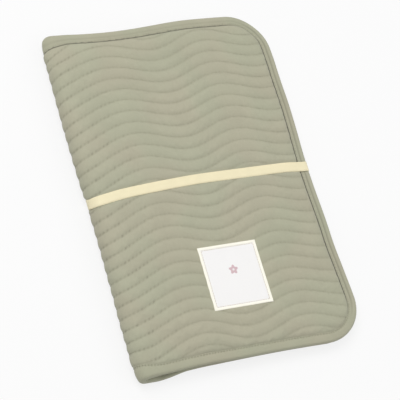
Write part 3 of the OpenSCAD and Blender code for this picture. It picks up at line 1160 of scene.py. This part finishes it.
class PAD_OT_lining(Maker, bpy.types.Operator):
    """Make the wipe-clean lining, which stands back a little inside the fold"""

    bl_idname = "pad.lining"
    bl_label = "Lining"

    def make(self, scene, pad, colours):
        material = coated_cotton("coated_lining", tuple(colours.lining))

        def inner(s, y):
            wrinkle = 0.22 * MM * ripple(s + 0.3 * y, 46 * MM, 11) * ripple(y - 0.2 * s, 61 * MM, 12)
            return pad.inner_face(s, y, 1 * MM) + wrinkle * ease(pad.tape.width, 40 * MM, pad.inset(s, y))

        def outer(s, y):
            return inner(s, y) + 0.9 * pad.sizes.lining_t

        for side, name in SIDES:
            places, faces = patch(pad, side, 3.2 * MM, 3.4 * MM)
            fine = np.column_stack([places, inner(*places.T)])
            flat, every = closed_layer(pad, fine, faces, outer, inward=True)
            made = make_piece(f"lining_{name}", pad.place(*flat.T), every, flat)
            finish_half(made, side, material, "lining", "lining")


class PAD_OT_label(Maker, bpy.types.Operator):
    """Sew the woven label low on the front panel"""

    bl_idname = "pad.label"
    bl_label = "Label"

    # The turned border's section: share of its width in from the label's edge, and height in mm
    section = ((0, -0.15), (0, 0.5), (0.0875, 0.78), (0.3, 0.9), (0.6, 0.86), (0.85, 0.84), (0.975, 0.7),
               (1, 0.45), (0.9, 0.3), (0.5, 0.2))
    corner = np.array([(-1, -1), (1, -1), (1, 1), (-1, 1)])
    # Cells across the label, and steps along each side of its border
    cells = 40
    steps = 30
    # How deep the label sinks into the pad, and how uneven it lies
    sunk = 0.57 * MM
    uneven = 0.10 * MM

    def ground(self, pad, a, b):
        """Height of the pad under the label."""
        return pad.thick - self.sunk + self.uneven * ripple(a + 0.4 * b, 21 * MM, 61)

    def laid(self, pad, a, b, up):
        """Points of the label on the folded pad."""
        return pad.place(*pad.from_label(a, b), self.ground(pad, a, b) + up)

    def side(self, pad, number, inset, share):
        """Places along one side of the label, inset from its edge. share is 0 at the side's start and 1 at
        its end."""
        half = np.array(pad.label_size) / 2 - inset
        start, stop = self.corner[number] * half, self.corner[(number + 1) % 4] * half
        return start + (stop - start) * np.asarray(share)[:, None]

    def make(self, scene, pad, colours):
        sizes = scene.label_sizes
        half_w, half_l = np.array(pad.label_size) / 2 - 0.6 * MM
        marks = np.linspace(-1, 1, self.cells + 1)
        weave = grid(marks * half_w, marks * half_l)
        count = len(weave)
        faces = grid_faces(len(marks), len(marks))
        rim = rim_of(faces)
        every = faces.tolist() + wall(rim, rim + count) + (faces[:, ::-1] + count).tolist()
        points = np.concatenate([self.laid(pad, *weave.T, up) for up in (sizes.face_t, 0)])
        made = make_piece("woven_label", points, every, np.tile(weave, (2, 1)), sharp=50)
        face = satin("label_satin", tuple(colours.label), tuple(colours.motif))
        finish_with(made, face, "label", "label_face")
        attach(made, "front_panel")

        share = np.arange(self.steps) / self.steps
        lines = [np.concatenate([self.side(pad, k, inset * sizes.border, share) for k in range(4)])
                 for inset, _ in self.section]
        weave = np.stack(lines, 1).reshape(-1, 2)
        up = np.tile([rise * MM for _, rise in self.section], 4 * self.steps)
        faces = grid_faces(4 * self.steps, len(self.section), closed_rows=True, closed_columns=True).tolist()
        made = make_piece("label_edging", self.laid(pad, *weave.T, up), faces, weave, sharp=50)
        finish_with(made, satin("label_edge", tuple(colours.border)), "label_edge", "label_border")
        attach(made, "front_panel")

        inset = sizes.border + 0.7 * MM
        counts = [int(2 * (half - inset) / sizes.pitch) for half in np.array(pad.label_size) / 2]
        lines = [self.side(pad, k, inset, np.linspace(0, 1, counts[k % 2] + 1)) for k in range(4)]
        places, runs = between([self.laid(pad, *line.T, sizes.face_t + 0.08 * MM) for line in lines])
        tan = sewing_thread("tan_thread", tuple(colours.tan))
        made = sew("label_stitches", places, runs, STITCH_SHARE * sizes.pitch, sizes.thread_t, tan, 65)
        finish_with(made, tan, "thread", "label_thread")
        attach(made, "front_panel")


class PAD_OT_elastic(Maker, bpy.types.Operator):
    """Stretch the elastic round the folded pad and sew its lap underneath"""

    bl_idname = "pad.elastic"
    bl_label = "Elastic"

    # Distance from one ring of points to the next
    step = 1.2 * MM
    # How many steps its sideways and its other bends are smoothed over
    smooth_y = 7
    smooth_xz = 1.2
    # The bars of stitching: points in each, how far they swing, and the thread
    teeth = 9
    swing = 0.7 * MM
    tack_l = 1.9 * MM
    tack_t = 0.3 * MM

    def path(self, pad):
        """A closed line round the pressed pad, anticlockwise as seen from its low end."""
        s = np.linspace(-pad.reach + 3 * MM, pad.reach - 3 * MM, 1500)
        y = pad.band_y(s)
        bound = pad.pressed(s, y, pad.bound(s))
        line = [pad.place(s, y, np.where(pad.inset(s, y) < pad.tape.width, bound, pad.cover_top(s, y)))]
        nose = pad.tape.bound_t / 2
        turns = np.linspace(0, math.pi, 24)
        for side in (FRONT, BACK):
            edge = side * (pad.reach - nose + nose * np.sin(turns))
            line.append(pad.place(edge, pad.band_y(edge), nose + (nose - 0.8 * MM) * np.cos(turns)))
        points = np.concatenate(line)
        order = np.lexsort((points[:, 2], points[:, 0]))
        return points[self.taut(points, order) + self.taut(points, order[::-1])]

    def taut(self, points, order):
        """Numbers of the points that a taut line touches, on one side of the pad."""
        flat = points[:, [0, 2]]
        kept = []
        for n in order:
            while len(kept) > 1:
                a, b = flat[kept[-1]] - flat[kept[-2]], flat[n] - flat[kept[-2]]
                if a[0] * b[1] - a[1] * b[0] > 0:
                    break
                kept.pop()
            kept.append(n)
        return kept[:-1]

    def loop(self, pad):
        """The elastic's even middle line, its outward direction and the distance along."""
        corner = self.path(pad)
        corner = np.concatenate([corner, corner[:1]])
        marks = np.concatenate([[0], np.cumsum(np.hypot(*np.diff(corner[:, [0, 2]], axis=0).T))])
        count = int(marks[-1] / self.step)
        along = np.arange(count) * marks[-1] / count
        line = np.stack([self.rounded(np.interp(along, marks, corner[:, k]), steps)
                         for k, steps in enumerate((self.smooth_xz, self.smooth_y, self.smooth_xz))], -1)
        run = np.roll(line, -1, 0) - np.roll(line, 1, 0)
        out = np.stack([run[:, 2], np.zeros(count), -run[:, 0]], -1)
        return line, out / np.linalg.norm(out, axis=1)[:, None], along

    def rounded(self, values, steps):
        """Values round a loop, smoothed over some steps."""
        wave = np.fft.rfftfreq(len(values))
        return np.fft.irfft(np.fft.rfft(values) * np.exp(-2 * (math.pi * wave * steps) ** 2), len(values))

    def sweep(self, name, line, out, along, width, thickness, base, closed=True):
        """A flat ribbon along a line, standing out from it, with thinned edges."""
        run = np.gradient(line, axis=0)
        if closed:
            run = np.roll(line, -1, 0) - np.roll(line, 1, 0)
        run /= np.linalg.norm(run, axis=1)[:, None]
        side = np.cross(out, run)
        half, edge = width / 2, 0.3 * MM
        across = np.array([-half, edge - half, -half / 2, 0, half / 2, half - edge, half])
        thin = np.where(np.abs(across) == half, 0.35 * thickness, 0)
        under, over = np.column_stack([across, thin]), np.column_stack([across, thickness - thin])
        section = np.concatenate([under, over[::-1]])
        rings = line[:, None] + side[:, None] * section[:, :1] + out[:, None] * (base + section[:, 1:])
        faces = grid_faces(len(line), len(section), closed, True)[:, ::-1].tolist()
        flat = np.stack(np.broadcast_arrays(along[:, None], section[:, 0]), -1).reshape(-1, 2)
        if not closed:
            numbers = list(range(rings.shape[0] * rings.shape[1]))
            faces += [numbers[:len(section)][::-1], numbers[-len(section):]]
        return make_piece(name, rings.reshape(-1, 3), faces, flat, sharp=70)

    def hold(self, made, material, slot, node):
        """Finishes a piece that slides with the elastic."""
        finish_with(made, material, slot, node)
        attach(made, "elastic")
        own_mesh(made)

    def make(self, scene, pad, colours):
        band = pad.band
        material = ribbed_elastic("cream_elastic", tuple(colours.elastic))
        thread = sewing_thread("cream_thread", shade(tuple(colours.elastic), 0.92))
        line, out, along = self.loop(pad)
        loop = self.sweep("elastic_loop", line, out, along, band.width, band.thickness, 0.06 * MM)
        self.hold(loop, material, "elastic", "elastic_band")

        under = (np.abs(line[:, 0]) < band.lap / 2) & (line[:, 2] < pad.turn)
        thinner = 0.9 * band.thickness
        lap = self.sweep("elastic_overlap", line[under], out[under], along[under], band.width - 0.4 * MM,
                         thinner, 0.04 * MM - thinner, closed=False)
        self.hold(lap, material, "elastic", "elastic_lap")

        bars = []
        y = line[under][:, 1].mean() + np.linspace(-1, 1, self.teeth) * (band.width / 2 - 1 * MM)
        z = np.full(self.teeth, line[under][0][2] - band.thickness - 0.08 * MM)
        for bar in (-1, 1):
            x = bar * (band.lap / 2 - 2 * MM) + np.where(np.arange(self.teeth) % 2, self.swing, -self.swing)
            bars.append(np.stack([x, y, z], -1))
        tack = sew("elastic_bartacks", *between(bars), self.tack_l, self.tack_t, thread, 71)
        self.hold(tack, thread, "thread", "elastic_stitching")


class PAD_OT_stage(Maker, bpy.types.Operator):
    """Set the floor, the soft studio light and the camera"""

    bl_idname = "pad.stage"
    bl_label = "Stage"

    floor_half = 6.0
    camera_at = (-1.22320, -0.67834, 2.34827)
    camera_turn = (21.651, -22.330, -17.529)
    lens = 252.5
    # Softboxes: name, place, size in metres, and power in watts
    lamps = (("key_light", (-0.9, 0.9, 2.2), 1.6, 40.0), ("fill_light", (1.6, -0.6, 1.8), 1.8, 12.0))

    def make(self, scene, pad, colours):
        corner = [(-1, -1, 0), (1, -1, 0), (1, 1, 0), (-1, 1, 0)]
        floor = make_piece("floor", self.floor_half * np.array(corner), [[0, 1, 2, 3]])
        floor.data.materials.append(pale_floor("floor_white"))
        for name, place, size, power in self.lamps:
            lamp = bpy.data.lights.new(name, "AREA")
            lamp.size = size
            lamp.energy = power
            self.add(scene, name, lamp, place, (-Vector(place)).to_track_quat("-Z", "Y").to_euler())
        self.sky(scene)
        camera = bpy.data.cameras.new("camera")
        camera.lens = self.lens
        camera.sensor_width = 36
        camera.clip_end = 50
        turn = Euler([math.radians(a) for a in self.camera_turn])
        scene.camera = self.add(scene, "camera", camera, self.camera_at, turn)
        scene.view_settings.view_transform = "Standard"

    def add(self, scene, name, data, place, turn):
        """Puts a light or a camera in the scene."""
        made = bpy.data.objects.new(name, data)
        made.location = place
        made.rotation_euler = turn
        scene.collection.objects.link(made)
        return made

    def sky(self, scene):
        """Even light from all round, and white where the camera sees past the floor."""
        scene.world = bpy.data.worlds.new("studio")
        scene.world.use_nodes = True
        n = Nodes(scene.world.node_tree)
        soft, white = (n.node("ShaderNodeBackground", {"Color": (1.0, 1.0, 1.0), "Strength": strength})
                       for strength in (0.45, 1.0))
        n.mixed(n.seen_by_eye(), soft, white, "ShaderNodeOutputWorld")


class PAD_PT_panel(bpy.types.Panel):
    """Lists the pad's settings and pieces"""

    bl_idname = "PAD_PT_panel"
    bl_label = "Changing pad"
    bl_space_type = "VIEW_3D"
    bl_region_type = "UI"
    bl_category = "Changing pad"

    def draw(self, context):
        for group in SETTINGS:
            settings = getattr(context.scene, group)
            box = self.layout.box()
            for key in settings.__annotations__:
                box.prop(settings, key)
        for operator in OPERATORS:
            self.layout.operator(operator.bl_idname)


SETTINGS = {
    "pad_sizes": PadSizes,
    "quilt_sizes": QuiltSizes,
    "tape_sizes": TapeSizes,
    "band_sizes": BandSizes,
    "label_sizes": LabelSizes,
    "pad_colours": PadColours,
}
OPERATORS = (
    PAD_OT_cover, PAD_OT_quilting, PAD_OT_binding, PAD_OT_wadding, PAD_OT_lining, PAD_OT_label,
    PAD_OT_elastic, PAD_OT_stage,
)


def register():
    for group, settings in SETTINGS.items():
        bpy.utils.register_class(settings)
        setattr(bpy.types.Scene, group, PointerProperty(type=settings))
    for operator in OPERATORS:
        bpy.utils.register_class(operator)
    bpy.utils.register_class(PAD_PT_panel)


def unregister():
    bpy.utils.unregister_class(PAD_PT_panel)
    for operator in reversed(OPERATORS):
        bpy.utils.unregister_class(operator)
    for group, settings in reversed(SETTINGS.items()):
        delattr(bpy.types.Scene, group)
        bpy.utils.unregister_class(settings)


def main():
    register()
    for operator in OPERATORS:
        prefix, action = operator.bl_idname.split(".")
        getattr(getattr(bpy.ops, prefix), action)()


if __name__ == "__main__":
    main()
